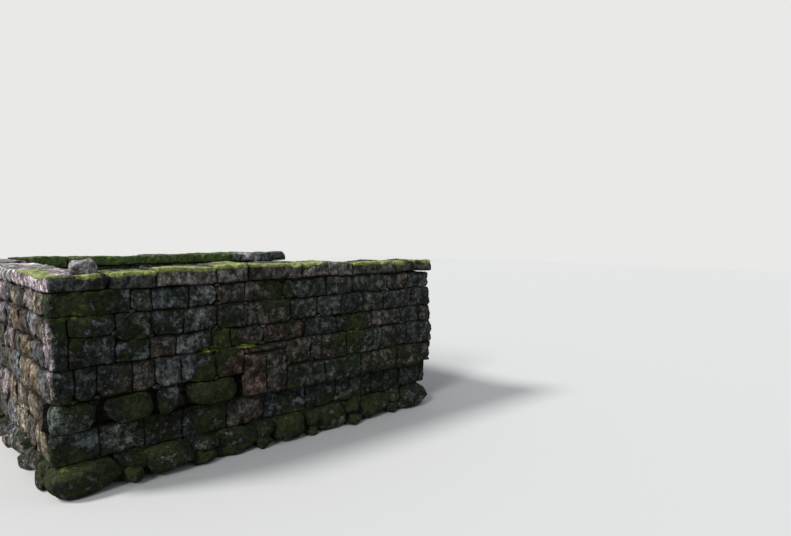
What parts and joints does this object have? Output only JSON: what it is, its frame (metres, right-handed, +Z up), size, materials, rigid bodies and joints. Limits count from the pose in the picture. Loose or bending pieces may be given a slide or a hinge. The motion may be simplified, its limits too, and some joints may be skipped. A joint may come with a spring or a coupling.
{
  "type": "ruined dry-laid granite mill foundation",
  "caption": "Roofless rectangular foundation of dry-laid, rough-split granite blocks with boulder footings, mossy coping slabs and an open pit inside.",
  "frame": {"origin": "on the ground, in the middle of the plan", "axes": "+X along the near wall to the right, +Y from the near wall to the rear wall, +Z up"},
  "size_m": [7.69, 7.44, 3.405],
  "materials": {
    "mossy_granite": "rough-split, damp, with moss and lichen",
    "weathered_granite": "rough-split, dry, with iron stains",
    "red_granite": "rough-split",
    "coping_granite": "split and pitched, mossy on top",
    "field_boulder": "water-worn, mossy",
    "rubble": "loose angular rubble"
  },
  "bodies": {
    "root": {"near_base": "field_boulder", "near_foot": "mossy_granite", "near_ledge": "field_boulder", "near_course_1": "mossy_granite", "near_course_2": "mossy_granite", "near_course_3": "mossy_granite", "near_course_4": "mossy_granite", "near_coping": "coping_granite", "near_hearting": "rubble", "near_backing": "rubble", "left_base": "field_boulder", "left_foot": "weathered_granite", "left_ledge": "weathered_granite", "left_course_1": "weathered_granite", "left_course_2": "weathered_granite", "left_course_3": "weathered_granite", "left_course_4": "weathered_granite", "left_coping": "coping_granite", "left_hearting": "rubble", "left_backing": "rubble", "rear_base": "field_boulder", "rear_foot": "mossy_granite", "rear_ledge": "mossy_granite", "rear_course_1": "mossy_granite", "rear_course_2": "mossy_granite", "rear_course_3": "mossy_granite", "rear_course_4": "mossy_granite", "rear_coping": "coping_granite", "rear_hearting": "rubble", "rear_backing": "rubble", "right_base": "field_boulder", "right_foot": "mossy_granite", "right_ledge": "mossy_granite", "right_course_1": "mossy_granite", "right_course_2": "mossy_granite", "right_course_3": "mossy_granite", "right_course_4": "mossy_granite", "right_coping": "coping_granite", "right_hearting": "rubble", "right_backing": "rubble", "near_quoin": "weathered_granite", "near_jumpers": "red_granite", "loose_boulder": "field_boulder"}
  },
  "joints": []
}
